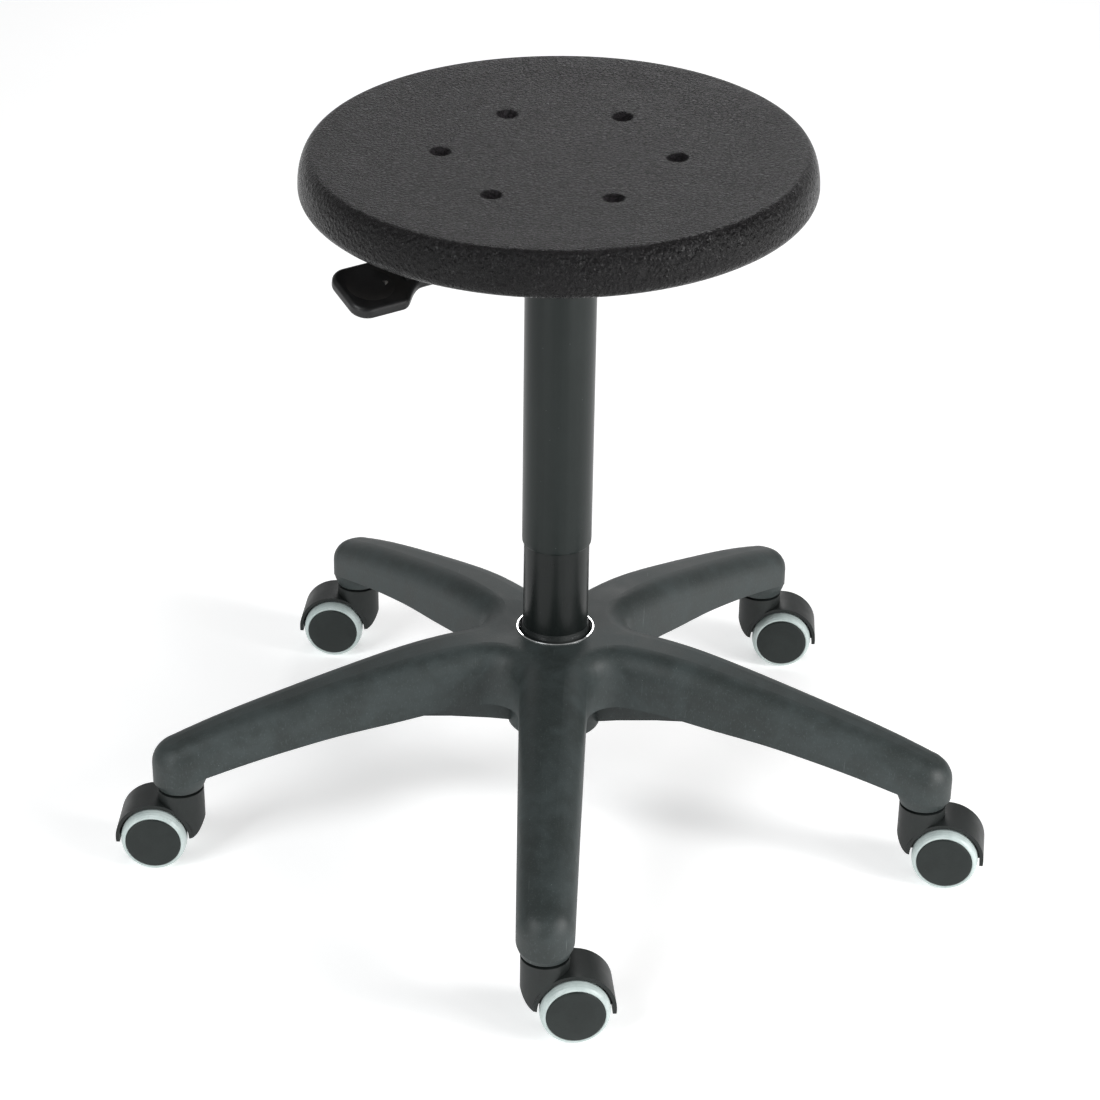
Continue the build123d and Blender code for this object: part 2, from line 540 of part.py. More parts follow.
def make_wheel():
    """Wheel core, axis along Y through (TRAIL, WHEEL_R), outer face towards -Y."""
    pts = [(AXLE_R + RUN, WHEEL_IN), (9.0, WHEEL_IN), (9.0, WHEEL_OUT - 5.0), (17.6, WHEEL_OUT - 5.0),
           (17.6, WHEEL_IN + 1.0), (CAP_R - 0.4, WHEEL_IN + 1.0), (CAP_R, WHEEL_IN + 1.4),
           (CAP_R, WHEEL_OUT - 1.1), (CAP_R - 0.5, WHEEL_OUT - 0.35), (CAP_R - 1.3, WHEEL_OUT),
           (14.0, WHEEL_OUT + 0.55), (7.0, WHEEL_OUT + 0.9), (0.0, WHEEL_OUT + 1.0),
           (0.0, WHEEL_OUT - 3.0), (AXLE_R + RUN, WHEEL_OUT - 3.0)]
    return turned(pts)


def make_tread():
    pts = [(CAP_R, WHEEL_IN + 1.6), (CAP_R + 1.8, WHEEL_IN + 1.0), (CAP_R + 3.1, WHEEL_IN + 1.7),
           (WHEEL_R - 0.35, WHEEL_IN + 4.0), (WHEEL_R, WHEEL_IN + 7.0), (WHEEL_R, WHEEL_OUT - 7.6),
           (WHEEL_R - 0.35, WHEEL_OUT - 4.6), (WHEEL_R - 1.1, WHEEL_OUT - 2.4), (CAP_R + 1.7, WHEEL_OUT - 0.9),
           (CAP_R + 0.6, WHEEL_OUT - 0.5), (CAP_R, WHEEL_OUT - 0.9)]
    return turned(pts)


def onto_axle(shape, near):
    """Turned part (axis Z, outer face at +Z) onto the axle, near side = -Y."""
    if near:
        laid = shape.rotate(Axis.X, 90)
    else:
        laid = shape.rotate(Axis.X, -90)
    return laid.moved(Location((TRAIL, 0, WHEEL_R)))


housing0 = make_housing()
wheel0 = make_wheel()
tread0 = make_tread()
axle0 = y_cylinder(AXLE_R, TRAIL, WHEEL_R, -WHEEL_OUT + 3.6, WHEEL_OUT - 3.6)
for i, (az, trail) in enumerate(CASTERS, start=1):
    x, y = polar(STEM_CIRCLE_R, az)
    where = Location((x, y, 0))
    tag = "caster%d_" % i

    def place(shape):
        return spin(shape, trail).moved(where)

    save(place(housing0), tag + "housing")
    save(place(axle0), tag + "axle")
    # side A faces -Y when the caster trails to +X
    save(place(onto_axle(wheel0, True)), tag + "wheel_a")
    save(place(onto_axle(wheel0, False)), tag + "wheel_b")
    save(place(onto_axle(tread0, True)), tag + "tread_a")
    save(place(onto_axle(tread0, False)), tag + "tread_b")
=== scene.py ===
import math

import bpy
import bmesh
from mathutils import Matrix, Vector


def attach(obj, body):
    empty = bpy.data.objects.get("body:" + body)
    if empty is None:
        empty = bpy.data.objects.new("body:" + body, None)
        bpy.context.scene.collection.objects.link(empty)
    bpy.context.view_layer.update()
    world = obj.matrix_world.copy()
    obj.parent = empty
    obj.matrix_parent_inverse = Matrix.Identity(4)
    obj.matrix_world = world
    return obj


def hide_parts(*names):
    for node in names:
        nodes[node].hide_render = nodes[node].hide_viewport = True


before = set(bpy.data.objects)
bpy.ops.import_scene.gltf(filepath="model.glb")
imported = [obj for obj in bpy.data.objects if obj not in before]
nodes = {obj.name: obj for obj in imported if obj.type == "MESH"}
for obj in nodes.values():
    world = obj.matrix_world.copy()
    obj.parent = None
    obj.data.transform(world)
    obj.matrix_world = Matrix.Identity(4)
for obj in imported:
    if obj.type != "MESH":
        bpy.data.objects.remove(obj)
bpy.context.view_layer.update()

scene = bpy.context.scene

# column axis in the row frame, metres
CX, CY = -0.000884, 0.027112


# ---------------------------------------------------------------- node helpers
class Graph:
    """Small wrapper that keeps material building readable."""

    def __init__(self, name):
        self.mat = bpy.data.materials.new(name)
        self.mat.use_nodes = True
        self.tree = self.mat.node_tree
        self.tree.nodes.clear()
        self.out = self.tree.nodes.new("ShaderNodeOutputMaterial")
        self.bsdf = self.tree.nodes.new("ShaderNodeBsdfPrincipled")
        self.tree.links.new(self.bsdf.outputs["BSDF"], self.out.inputs["Surface"])
        self.coord = self.tree.nodes.new("ShaderNodeTexCoord").outputs["Object"]

    def link(self, a, b):
        self.tree.links.new(a, b)

    def set(self, name, value):
        socket = self.bsdf.inputs[name]
        if hasattr(value, "node"):
            self.link(value, socket)
        else:
            socket.default_value = value

    def _feed(self, socket, value):
        if value is None:
            return
        if hasattr(value, "node"):
            self.link(value, socket)
        else:
            socket.default_value = value

    def mapping(self, vector=None, scale=(1, 1, 1), rotation=(0, 0, 0), location=(0, 0, 0)):
        n = self.tree.nodes.new("ShaderNodeMapping")
        self.link(vector or self.coord, n.inputs["Vector"])
        n.inputs["Scale"].default_value = scale
        n.inputs["Rotation"].default_value = rotation
        n.inputs["Location"].default_value = location
        return n.outputs["Vector"]

    def noise(self, scale, detail=3.0, rough=0.5, distortion=0.0, vector=None, color=False):
        n = self.tree.nodes.new("ShaderNodeTexNoise")
        self.link(vector or self.coord, n.inputs["Vector"])
        n.inputs["Scale"].default_value = scale
        n.inputs["Detail"].default_value = detail
        n.inputs["Roughness"].default_value = rough
        n.inputs["Distortion"].default_value = distortion
        return n.outputs["Color" if color else "Fac"]

    def voronoi(self, scale, feature="F1", randomness=1.0, vector=None, smooth=None):
        n = self.tree.nodes.new("ShaderNodeTexVoronoi")
        n.feature = feature
        self.link(vector or self.coord, n.inputs["Vector"])
        n.inputs["Scale"].default_value = scale
        n.inputs["Randomness"].default_value = randomness
        if smooth is not None and "Smoothness" in n.inputs:
            n.inputs["Smoothness"].default_value = smooth
        return n.outputs["Distance"]

    def math(self, op, a, b=None, c=None, clamp=False):
        n = self.tree.nodes.new("ShaderNodeMath")
        n.operation = op
        n.use_clamp = clamp
        self._feed(n.inputs[0], a)
        self._feed(n.inputs[1], b)
        self._feed(n.inputs[2], c)
        return n.outputs[0]

    def ramp(self, fac, lo, hi, to_lo=0.0, to_hi=1.0):
        n = self.tree.nodes.new("ShaderNodeMapRange")
        n.interpolation_type = "SMOOTHSTEP"
        self._feed(n.inputs["Value"], fac)
        n.inputs["From Min"].default_value = lo
        n.inputs["From Max"].default_value = hi
        n.inputs["To Min"].default_value = to_lo
        n.inputs["To Max"].default_value = to_hi
        return n.outputs["Result"]

    def mix(self, fac, a, b, blend="MIX"):
        n = self.tree.nodes.new("ShaderNodeMix")
        n.data_type = "RGBA"
        n.blend_type = blend
        self._feed(n.inputs[0], fac)
        for socket, v in ((n.inputs[6], a), (n.inputs[7], b)):
            if hasattr(v, "node"):
                self.link(v, socket)
            else:
                socket.default_value = (v[0], v[1], v[2], 1.0)
        return n.outputs[2]

    def shift(self, vector, other, amount):
        """vector + (other - 0.5) * amount, for warping a texture."""
        sub = self.tree.nodes.new("ShaderNodeVectorMath")
        sub.operation = "SUBTRACT"
        self.link(other, sub.inputs[0])
        sub.inputs[1].default_value = (0.5, 0.5, 0.5)
        mul = self.tree.nodes.new("ShaderNodeVectorMath")
        mul.operation = "SCALE"
        self.link(sub.outputs[0], mul.inputs[0])
        mul.inputs["Scale"].default_value = amount
        add = self.tree.nodes.new("ShaderNodeVectorMath")
        add.operation = "ADD"
        self.link(vector, add.inputs[0])
        self.link(mul.outputs[0], add.inputs[1])
        return add.outputs[0]

    def bump(self, height, distance, strength=1.0, normal=None):
        n = self.tree.nodes.new("ShaderNodeBump")
        n.inputs["Strength"].default_value = strength
        n.inputs["Distance"].default_value = distance
        self.link(height, n.inputs["Height"])
        if normal is not None:
            self.link(normal, n.inputs["Normal"])
        return n.outputs["Normal"]

    def attribute(self, name):
        n = self.tree.nodes.new("ShaderNodeAttribute")
        n.attribute_name = name
        return n.outputs["Fac"]

    def separate(self, vector=None):
        n = self.tree.nodes.new("ShaderNodeSeparateXYZ")
        self.link(vector or self.coord, n.inputs[0])
        return n.outputs


# ------------------------------------------------------------------- materials
def seat_skin():
    """Moulded polyurethane skin: fine wavy leather grain, coarser and glossier round the rim."""
    g = Graph("seat_skin")
    rim = g.attribute("rim")
    warp = g.noise(170.0, 3.0, 0.55, color=True)
    warped = g.shift(g.coord, warp, 0.0042)
    cells = g.voronoi(265.0, "DISTANCE_TO_EDGE", vector=warped)
    cells = g.ramp(cells, 0.02, 0.30)
    creases = g.noise(300.0, 2.5, 0.55, 1.6)
    creases = g.math("ABSOLUTE", g.math("SUBTRACT", creases, 0.5))
    creases = g.ramp(creases, 0.0, 0.13)
    fine = g.noise(1500.0, 2.0, 0.6)
    grain = g.math("MULTIPLY_ADD", creases, 0.55, g.math("MULTIPLY", cells, 0.45))
    grain = g.math("MULTIPLY_ADD", fine, 0.22, grain)
    # coarse pebble on the side band
    big_warp = g.noise(110.0, 2.0, 0.5, color=True)
    coarse = g.voronoi(270.0, "F1", vector=g.shift(g.coord, big_warp, 0.0055))
    coarse = g.ramp(coarse, 0.05, 0.62, 1.0, 0.0)
    side = g.math("MULTIPLY_ADD", grain, 0.45, g.math("MULTIPLY", coarse, 0.9))
    height = g.math("ADD", g.math("MULTIPLY", grain, g.math("SUBTRACT", 1.0, rim)), g.math("MULTIPLY", side, g.math("MULTIPLY", rim, 0.55)))
    slow = g.noise(26.0, 3.0, 0.5)
    tone = g.mix(g.ramp(slow, 0.3, 0.72), (0.0165, 0.0142, 0.0162), (0.0300, 0.0266, 0.0298))
    # grain crevices mixed towards near-black: painted shade in the creases of the grain, on top of the bump
    tone = g.mix(g.ramp(grain, 0.1, 0.75), (0.0040, 0.0037, 0.0040), tone)
    # side band and underside mixed towards near-black by the rim weight: painted shade on the seat's side and
    # underneath, same skin as the top
    tone = g.mix(g.math("MULTIPLY", rim, 0.88), tone, (0.0018, 0.0016, 0.0018))
    # small light grey specks over the skin: painted glints standing in for glossy specks that catch the light
    glint_specks = g.voronoi(95.0, "F1", vector=g.shift(g.coord, warp, 0.02))
    glint_specks = g.ramp(glint_specks, 0.012, 0.022, 1.0, 0.0)
    tone = g.mix(g.math("MULTIPLY", glint_specks, 0.35), tone, (0.22, 0.21, 0.21))
    g.set("Base Color", tone)
    rough = g.math("MULTIPLY_ADD", g.ramp(grain, 0.1, 0.8), -0.10, 0.47)
    rough = g.math("MULTIPLY_ADD", rim, -0.17, rough)
    rough = g.math("MULTIPLY_ADD", g.ramp(slow, 0.35, 0.7), 0.05, rough)
    g.set("Roughness", rough)
    g.set("Specular IOR Level", 0.18)
    g.set("Normal", g.bump(height, 0.0016, 1.0))
    return g.mat


def base_nylon(name="base_nylon", dark=(0.0190, 0.0250, 0.0240), light=(0.0330, 0.0430, 0.0430)):
    """Glass filled nylon with flow mottling, fine grain and handling scuffs."""
    g = Graph(name)
    big = g.noise(19.0, 4.0, 0.62, 0.7)
    mid = g.noise(75.0, 3.0, 0.6, 0.4)
    patch = g.math("MULTIPLY_ADD", mid, 0.35, g.math("MULTIPLY", big, 0.65))
    tone = g.mix(g.ramp(patch, 0.36, 0.66), dark, light)
    fibre = g.noise(900.0, 2.0, 0.6, vector=g.mapping(scale=(1, 1, 0.45)))
    tone = g.mix(g.ramp(fibre, 0.54, 0.74, 0.0, 0.35), tone, (0.070, 0.088, 0.088))
    # hairline scuffs in two directions
    scuff = None
    for k, (rot, seed) in enumerate((((0.3, 0.2, 0.5), 3.0), ((0.1, 0.5, 2.1), 9.0))):
        v = g.mapping(scale=(900, 26, 26), rotation=rot, location=(seed, seed, 0))
        s = g.ramp(g.noise(1.0, 2.0, 0.5, vector=v), 0.70, 0.80)
        scuff = s if scuff is None else g.math("MAXIMUM", scuff, s)
    scuff = g.math("MULTIPLY", scuff, g.ramp(g.noise(34.0, 2.0), 0.52, 0.66))
    tone = g.mix(g.math("MULTIPLY", scuff, 0.45), tone, (0.17, 0.20, 0.20))
    specks = g.ramp(g.voronoi(230.0), 0.035, 0.06, 1.0, 0.0)
    specks = g.math("MULTIPLY", specks, g.ramp(g.noise(60.0, 2.0), 0.55, 0.62))
    tone = g.mix(g.math("MULTIPLY", specks, 0.6), tone, (0.28, 0.33, 0.32))
    g.set("Base Color", tone)
    rough = g.ramp(patch, 0.3, 0.7, 0.45, 0.56)
    rough = g.math("MULTIPLY_ADD", fibre, 0.08, rough)
    g.set("Roughness", rough)
    g.set("Specular IOR Level", 0.42)
    height = g.math("MULTIPLY_ADD", fibre, 0.6, g.math("MULTIPLY", g.noise(330.0, 3.0, 0.6), 0.7))
    g.set("Normal", g.bump(height, 0.00010, 0.8))
    return g.mat


def tube_paint(name, dark, light, rough_lo, rough_hi, coat=0.0):
    """Powder coated steel tube: faint orange peel, drawn streaks along the axis, a few rubs."""
    g = Graph(name)
    streak = g.noise(1.0, 4.0, 0.6, vector=g.mapping(scale=(260, 260, 3.5)))
    cloud = g.noise(42.0, 3.0, 0.55)
    both = g.math("MULTIPLY_ADD", cloud, 0.45, g.math("MULTIPLY", streak, 0.55))
    tone = g.mix(g.ramp(both, 0.34, 0.66), dark, light)
    rub = g.ramp(g.noise(1.0, 2.0, 0.5, vector=g.mapping(scale=(30, 30, 620))), 0.71, 0.80)
    rub = g.math("MULTIPLY", rub, g.ramp(g.noise(22.0, 2.0), 0.50, 0.66))
    tone = g.mix(g.math("MULTIPLY", rub, 0.35), tone, (0.14, 0.16, 0.16))
    dots = g.ramp(g.voronoi(120.0), 0.02, 0.034, 1.0, 0.0)
    tone = g.mix(g.math("MULTIPLY", dots, 0.35), tone, (0.25, 0.28, 0.28))
    g.set("Base Color", tone)
    g.set("Roughness", g.ramp(both, 0.3, 0.7, rough_lo, rough_hi))
    g.set("Specular IOR Level", 0.25)
    if coat:
        g.set("Coat Weight", coat)
        g.set("Coat Roughness", 0.32)
    peel = g.math("MULTIPLY_ADD", g.noise(420.0, 2.0, 0.5), 0.7, g.math("MULTIPLY", g.noise(1400.0, 1.0), 0.3))
    g.set("Normal", g.bump(peel, 0.00008, 0.6))
    return g.mat


def moulded(name, dark, light, rough_lo=0.42, rough_hi=0.55, grain=900.0, depth=0.00006, speck=0.25):
    """Injection moulded plastic with an eroded mould texture."""
    g = Graph(name)
    cloud = g.noise(55.0, 4.0, 0.6, 0.3)
    tone = g.mix(g.ramp(cloud, 0.32, 0.7), dark, light)
    pits = g.noise(grain, 2.0, 0.6)
    tone = g.mix(g.ramp(pits, 0.35, 0.7, 0.18, 0.0), tone, (dark[0] * 0.4, dark[1] * 0.4, dark[2] * 0.4))
    dots = g.ramp(g.voronoi(260.0), 0.03, 0.05, 1.0, 0.0)
    dots = g.math("MULTIPLY", dots, g.ramp(g.noise(80.0, 1.0), 0.5, 0.6))
    tone = g.mix(g.math("MULTIPLY", dots, speck), tone, (0.25, 0.27, 0.27))
    g.set("Base Color", tone)
    g.set("Roughness", g.ramp(cloud, 0.3, 0.7, rough_lo, rough_hi))
    g.set("Specular IOR Level", 0.34)
    height = g.math("MULTIPLY_ADD", pits, 0.6, g.math("MULTIPLY", g.noise(grain * 0.4, 2.0), 0.4))
    g.set("Normal", g.bump(height, depth, 0.8))
    return g.mat


def tread_rubber():
    """Pale grey soft tread, faintly soiled where it runs."""
    g = Graph("tread_rubber")
    cloud = g.noise(75.0, 4.0, 0.6, 0.4)
    tone = g.mix(g.ramp(cloud, 0.3, 0.72), (0.43, 0.50, 0.487), (0.53, 0.600, 0.585))
    soil = g.math("MULTIPLY", g.ramp(g.noise(260.0, 3.0, 0.7), 0.56, 0.72), 0.25)
    tone = g.mix(soil, tone, (0.20, 0.23, 0.22))
    g.set("Base Color", tone)
    g.set("Roughness", g.ramp(cloud, 0.3, 0.7, 0.34, 0.46))
    g.set("Specular IOR Level", 0.5)
    height = g.math("MULTIPLY_ADD", g.noise(1100.0, 2.0), 0.4, g.noise(240.0, 2.0))
    g.set("Normal", g.bump(height, 0.00005, 0.7))
    return g.mat


def steel(name, dark=(0.42, 0.43, 0.44), light=(0.66, 0.67, 0.68), rough_lo=0.22, rough_hi=0.36, stretch=(220, 220, 12)):
    """Machined or plated steel with fine drawn lines."""
    g = Graph(name)
    lines = g.noise(1.0, 4.0, 0.6, vector=g.mapping(scale=stretch))
    cloud = g.noise(60.0, 3.0)
    tone = g.mix(g.ramp(lines, 0.3, 0.7), dark, light)
    tone = g.mix(g.ramp(cloud, 0.55, 0.75, 0.0, 0.3), tone, (dark[0] * 0.6, dark[1] * 0.6, dark[2] * 0.6))
    g.set("Base Color", tone)
    g.set("Metallic", 1.0)
    g.set("Roughness", g.ramp(lines, 0.3, 0.7, rough_lo, rough_hi))
    g.set("Normal", g.bump(lines, 0.00003, 0.5))
    return g.mat


def plywood():
    """Sealed plywood board seen from below."""
    g = Graph("ply_board")
    v = g.mapping(scale=(14, 150, 14), rotation=(0, 0, 0.3))
    bands = g.noise(1.0, 5.0, 0.62, 0.8, vector=v)
    pores = g.ramp(g.noise(1.0, 2.0, 0.5, vector=g.mapping(scale=(60, 1500, 60), rotation=(0, 0, 0.3))), 0.62, 0.72)
    tone = g.mix(g.ramp(bands, 0.32, 0.68), (0.040, 0.034, 0.029), (0.075, 0.065, 0.056))
    tone = g.mix(g.math("MULTIPLY", pores, 0.5), tone, (0.020, 0.017, 0.014))
    g.set("Base Color", tone)
    g.set("Roughness", g.ramp(bands, 0.3, 0.7, 0.5, 0.66))
    g.set("Normal", g.bump(g.math("SUBTRACT", bands, g.math("MULTIPLY", pores, 0.5)), 0.00015, 0.7))
    return g.mat


M = {
    "seat": seat_skin(),
    "base": base_nylon(),
    "cover": tube_paint("cover_paint", (0.0082, 0.0118, 0.0110), (0.0104, 0.0146, 0.0137), 0.30, 0.34),
    "tube": tube_paint("stand_paint", (0.0050, 0.0068, 0.0064), (0.0072, 0.0094, 0.0089), 0.27, 0.31),
    "plate": tube_paint("plate_paint", (0.018, 0.018, 0.019), (0.032, 0.032, 0.034), 0.42, 0.55),
    "collar": moulded("collar_plastic", (0.010, 0.012, 0.012), (0.020, 0.023, 0.022), 0.34, 0.46),
    "lever": moulded("lever_plastic", (0.0050, 0.0050, 0.0053), (0.0100, 0.0100, 0.0106), 0.34, 0.44),
    "hood": moulded("hood_plastic", (0.0095, 0.0118, 0.0112), (0.0155, 0.0188, 0.0180), 0.42, 0.54),
    "cap": moulded("wheel_plastic", (0.0090, 0.0130, 0.0120), (0.0145, 0.0195, 0.0184), 0.42, 0.54, depth=0.00004),
    "tread": tread_rubber(),
    "steel": steel("plated_steel"),
    "bright": steel("sleeve_steel", (0.74, 0.76, 0.76), (0.90, 0.91, 0.91), 0.16, 0.26),
    "bearing": steel("bearing_steel", (0.60, 0.61, 0.63), (0.80, 0.81, 0.83), 0.10, 0.20),
    "bush": moulded("bush_acetal", (0.62, 0.62, 0.58), (0.72, 0.72, 0.68), 0.30, 0.42, speck=0.05),
    "rubber": moulded("stop_rubber", (0.012, 0.012, 0.012), (0.022, 0.022, 0.022), 0.6, 0.75),
    "piston": moulded("piston_nylon", (0.045, 0.045, 0.045), (0.065, 0.065, 0.065), 0.5, 0.6),
    "board": plywood(),
}

use = {
    "star_base": "base", "hub_sleeve": "bright", "stand_tube": "tube", "tube_end_plate": "steel",
    "foot_collar": "collar", "guide_bush": "bush", "caster_stems": "steel", "stem_sockets": "bush",
    "bearing_race_lower": "bearing", "piston_rod": "bearing", "rod_clip": "steel", "bearing_balls": "bearing",
    "bearing_race_upper": "bearing", "bump_stop": "rubber", "gas_piston": "piston", "gas_cylinder": "tube",
    "rod_seal": "rubber", "cover_tube": "cover", "cover_cap": "collar", "plate_socket": "plate",
    "seat_plate": "plate", "lever_bracket": "plate", "lever_pin": "steel", "plate_screws": "steel",
    "tee_nuts": "steel", "seat_board": "board", "seat_pad": "seat", "lever_rod": "steel",
    "lever_paddle": "lever", "valve_button": "steel",
}
for i in range(1, 6):
    use["caster%d_housing" % i] = "hood"
    use["caster%d_axle" % i] = "steel"
    for w in "ab":
        use["caster%d_wheel_%s" % (i, w)] = "cap"
        use["caster%d_tread_%s" % (i, w)] = "tread"

for name, key in use.items():
    o = nodes[name]
    o.data.materials.clear()
    o.data.materials.append(M[key])


# ------------------------------------------------------------------- seat pad
LEAN = math.radians(3.5)
LEAN_AZ = math.radians(79.5 - 90.0)
LEAN_Z = 0.5268
lean = (Matrix.Translation((CX, CY, LEAN_Z)) @ Matrix.Rotation(LEAN, 4, (math.cos(LEAN_AZ), math.sin(LEAN_AZ), 0))
        @ Matrix.Translation((-CX, -CY, -LEAN_Z)))

SEAT_R = 0.1853
CREST = 0.5468
RIM_T = 0.0342
UNDER = CREST - RIM_T
DISH = 0.0078
CORE_R = 0.1503
CORE_T = 0.0123
SHIFT_X = -0.003
DIMPLE_R = 0.0843
DIMPLE_TURN = math.radians(-2.4)


def smooth(t):
    t = min(max(t, 0.0), 1.0)
    return t * t * (3 - 2 * t)


def hermite(points, r):
    """Monotone cubic through (r, z) points."""
    for k in range(len(points) - 1):
        if r <= points[k + 1][0]:
            break
    (x0, y0), (x1, y1) = points[k], points[k + 1]

    def slope(j):
        if j <= 0 or j >= len(points) - 1:
            return 0.0
        a = (points[j][1] - points[j - 1][1]) / (points[j][0] - points[j - 1][0])
        b = (points[j + 1][1] - points[j][1]) / (points[j + 1][0] - points[j][0])
        return 0.0 if a * b <= 0 else 2 * a * b / (a + b)

    h = x1 - x0
    t = (r - x0) / h
    m0, m1 = slope(k) * h, slope(k + 1) * h
    return (y0 * (2 * t ** 3 - 3 * t ** 2 + 1) + m0 * (t ** 3 - 2 * t ** 2 + t)
            + y1 * (-2 * t ** 3 + 3 * t ** 2) + m1 * (t ** 3 - t ** 2))


crest_r = SEAT_R - 0.0113
top_points = [(0.0, CREST - DISH), (0.055, CREST - DISH + 0.0002), (0.100, CREST - DISH + 0.0016),
              (0.135, CREST - 0.0039), (0.158, CREST - 0.0012), (crest_r, CREST)]


def seat_profile():
    """(r, z, rim weight) from the centre of the top, over the rim, to the board recess below."""
    line = []
    r = 0.0
    while r < crest_r - 0.0005:
        line.append((r, hermite(top_points, r), smooth((r - crest_r + 0.004) / 0.010)))
        r += 0.0016 if r < 0.068 else (0.0009 if r < 0.100 else 0.0016)
    for k in range(0, 19):
        t = math.radians(5.0 * k)
        line.append((crest_r + 0.0113 * math.sin(t), CREST - 0.0251 * (1 - math.cos(t)),
                     smooth((0.0113 * math.sin(t) + 0.004) / 0.010)))
    for k in range(1, 13):
        t = math.radians(7.5 * k)
        line.append((SEAT_R - 0.012 + 0.012 * math.cos(t), UNDER + 0.0095 - 0.0095 * math.sin(t), 1.0))
    for r in (0.171, 0.168, 0.164, 0.160, 0.156, 0.1525, 0.151):
        line.append((r, UNDER, 0.6))
    line += [(CORE_R + 0.0004, UNDER + 0.0003, 0.6), (CORE_R, UNDER + 0.0009, 0.5), (CORE_R, UNDER + 0.006, 0.5),
             (CORE_R, UNDER + CORE_T - 0.0005, 0.5), (CORE_R - 0.0005, UNDER + CORE_T, 0.5),
             (0.120, UNDER + CORE_T, 0.3), (0.07, UNDER + CORE_T, 0.3), (0.0, UNDER + CORE_T, 0.3)]
    return line


def build_seat():
    around = 512
    line = seat_profile()
    bm = bmesh.new()
    layer = bm.verts.layers.float.new("rim")
    centres = [(DIMPLE_R * math.cos(DIMPLE_TURN + math.radians(60) * k),
                DIMPLE_R * math.sin(DIMPLE_TURN + math.radians(60) * k)) for k in range(6)]
    top_rings = sum(1 for p in line if p[0] <= crest_r and p[1] > UNDER + 0.02 and p[2] <= 1.0 and p[0] < crest_r)
    rings = []
    for j, (r, z, weight) in enumerate(line):
        if r == 0.0:
            v = bm.verts.new((CX + SHIFT_X, CY, z))
            v[layer] = weight
            rings.append([v])
            continue
        ring = []
        for i in range(around):
            a = 2 * math.pi * i / around
            x, y = r * math.cos(a), r * math.sin(a)
            zz = z
            if 0.066 < r < 0.104 and z > UNDER + 0.02:
                for cx, cy in centres:
                    d = math.hypot(x - cx, y - cy)
                    if d < 0.0125:
                        # soft lip, steep bowl, round floor
                        inside = max(0.0, 1.0 - (d / 0.0078) ** 2)
                        bowl = 0.0050 * inside ** 0.9
                        lip = 0.00045 * (1 - smooth((d - 0.0058) / 0.0062))
                        zz -= bowl + lip
            # slow hand-made unevenness of a foam moulding, well under a millimetre
            wob = (0.00016 * math.sin(2 * a + 0.7) + 0.00010 * math.sin(5 * a + 2.0)) * smooth(r / 0.15)
            if z > UNDER + 0.02:
                zz += wob
            v = bm.verts.new((CX + SHIFT_X + x, CY + y, zz))
            v[layer] = weight
            ring.append(v)
        rings.append(ring)
    for j in range(len(rings) - 1):
        a, b = rings[j], rings[j + 1]
        if len(a) == 1:
            for i in range(around):
                bm.faces.new((a[0], b[i], b[(i + 1) % around]))
        elif len(b) == 1:
            for i in range(around):
                bm.faces.new((b[0], a[(i + 1) % around], a[i]))
        else:
            for i in range(around):
                k = (i + 1) % around
                bm.faces.new((a[i], b[i], b[k], a[k]))
    bmesh.ops.recalc_face_normals(bm, faces=bm.faces)
    bm.transform(lean)
    mesh = bpy.data.meshes.new("seat_pad_skin")
    bm.to_mesh(mesh)
    bm.free()
    for p in mesh.polygons:
        p.use_smooth = True
    o = bpy.data.objects.new("seat_pad_skin", mesh)
    scene.collection.objects.link(o)
    o.data.materials.append(M["seat"])
    return o


pad = build_seat()
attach(pad, "seat")
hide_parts("seat_pad")

# --------------------------------------------------------- stage, light, camera
def soft_floor():
    bm = bmesh.new()
    n = 24
    size = 14.0
    grid = [[bm.verts.new((-size / 2 + size * i / n, -size / 2 + size * j / n, 0.0)) for i in range(n + 1)]
            for j in range(n + 1)]
    for j in range(n):
        for i in range(n):
            bm.faces.new((grid[j][i], grid[j][i + 1], grid[j + 1][i + 1], grid[j + 1][i]))
    mesh = bpy.data.meshes.new("floor")
    bm.to_mesh(mesh)
    bm.free()
    o = bpy.data.objects.new("floor", mesh)
    scene.collection.objects.link(o)
    g = Graph("floor_paper")
    g.set("Base Color", g.mix(g.noise(3.0, 2.0), (0.90, 0.90, 0.90), (0.93, 0.93, 0.93)))
    g.set("Roughness", 0.85)
    g.set("Specular IOR Level", 0.2)
    g.set("Emission Color", (1.0, 1.0, 1.0, 1.0))
    g.set("Emission Strength", 0.38)
    o.data.materials.append(g.mat)
    return o


soft_floor()


def area(name, location, target, size_x, size_y, power, color=(1, 1, 1)):
    light = bpy.data.lights.new(name, "AREA")
    light.shape = "RECTANGLE"
    light.size, light.size_y = size_x, size_y
    light.energy = power
    light.color = color
    o = bpy.data.objects.new(name, light)
    scene.collection.objects.link(o)
    o.location = location
    o.rotation_mode = "QUATERNION"
    o.rotation_quaternion = (Vector(target) - Vector(location)).to_track_quat("-Z", "Y")
    return o


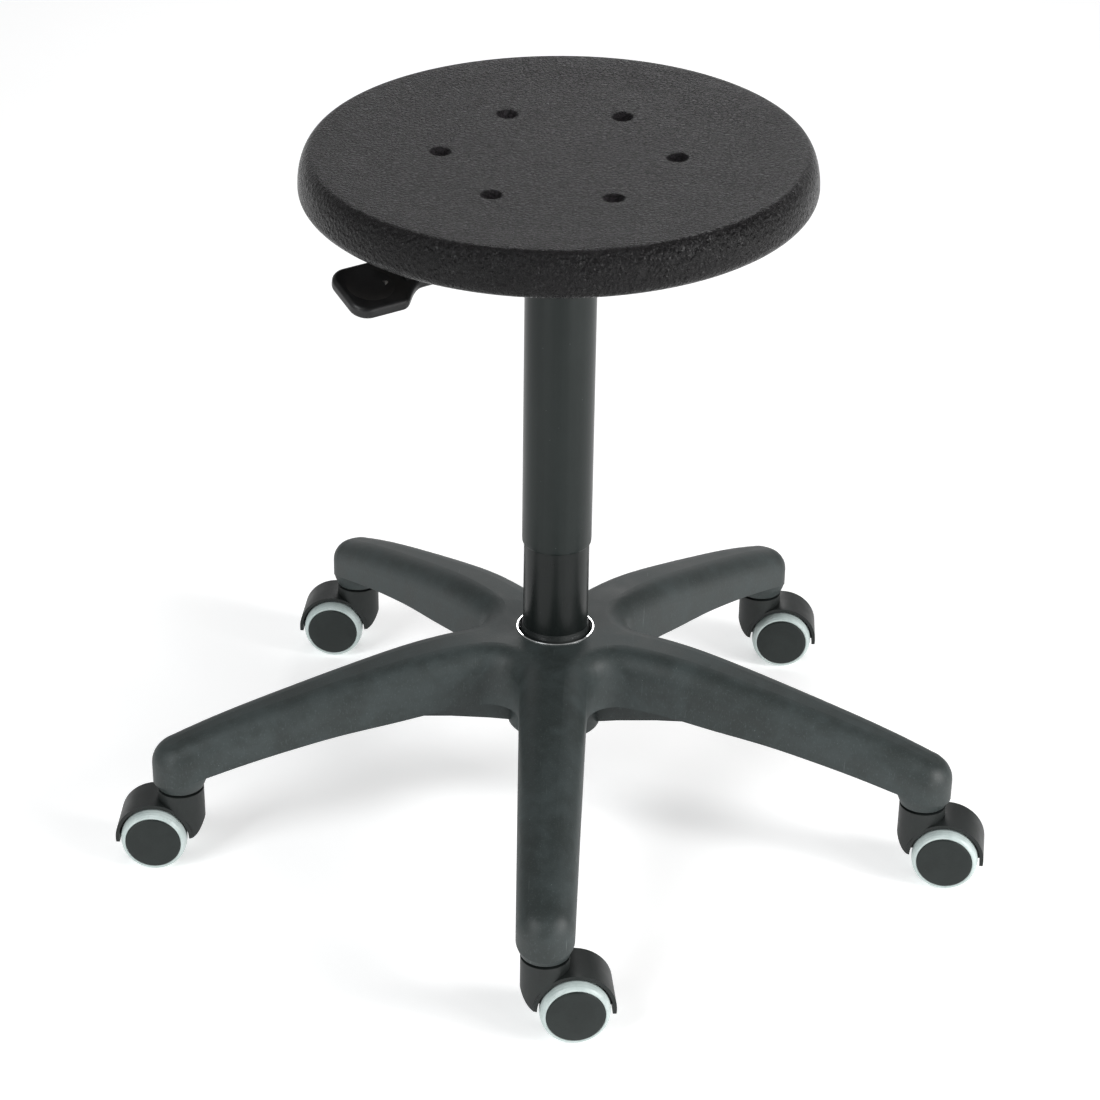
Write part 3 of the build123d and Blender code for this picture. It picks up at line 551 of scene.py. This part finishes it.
area("key_right", (2.15, -1.05, 1.20), (0, 0, 0.35), 1.3, 1.4, 34.0, (1.0, 0.995, 0.99))
area("key_left", (-1.7, -1.7, 1.95), (0, 0, 0.30), 1.2, 1.2, 38.0, (0.97, 0.99, 1.0))
area("rim_right", (2.05, -0.80, 1.20), (0.1, -0.1, 0.52), 0.42, 0.60, 17.0, (1.0, 1.0, 1.0))
area("strip_right", (1.22, -1.50, 0.30), (0, 0, 0.33), 0.15, 0.50, 4.2, (1.0, 1.0, 1.0))
area("strip_left", (-1.22, -1.50, 0.30), (0, 0, 0.33), 0.15, 0.50, 4.2, (0.98, 1.0, 1.0))
area("top_back", (0.15, 2.4, 1.50), (0, -0.1, 0.5), 0.8, 0.4, 9.0, (1.0, 1.0, 1.0))
area("back_wall", (0.0, 3.2, 0.9), (0, 0, 0.4), 4.5, 1.2, 10.0, (0.98, 0.99, 1.0))

world = bpy.data.worlds.new("studio")
scene.world = world
world.use_nodes = True
wt = world.node_tree
wt.nodes.clear()
wout = wt.nodes.new("ShaderNodeOutputWorld")
wbg = wt.nodes.new("ShaderNodeBackground")
wt.links.new(wbg.outputs[0], wout.inputs[0])
wbg.inputs["Color"].default_value = (1.0, 1.0, 1.0, 1.0)
wbg.inputs["Strength"].default_value = 0.28

scene.view_settings.view_transform = "Standard"
scene.view_settings.look = "None"
scene.view_settings.exposure = 0.0
scene.view_settings.gamma = 1.0

cam_data = bpy.data.cameras.new("camera")
cam = bpy.data.objects.new("camera", cam_data)
scene.collection.objects.link(cam)
cam_data.sensor_fit = "HORIZONTAL"
cam_data.sensor_width = 36.0
cam_data.lens = 2744.1 / 1100.0 * 36.0
cam_data.clip_start = 0.05
cam_data.clip_end = 60.0
right = Vector((0.99969, 0.02074, 0.01382))
up = Vector((-0.02186, 0.46369, 0.88573))
back = Vector((0.01196, -0.88576, 0.46400))
rot = Matrix((right, up, back)).transposed().to_4x4()
cam.matrix_world = Matrix.Translation((0.01999 + CX, -1.85069 + CY, 1.19270)) @ rot
scene.camera = cam

bpy.context.view_layer.update()
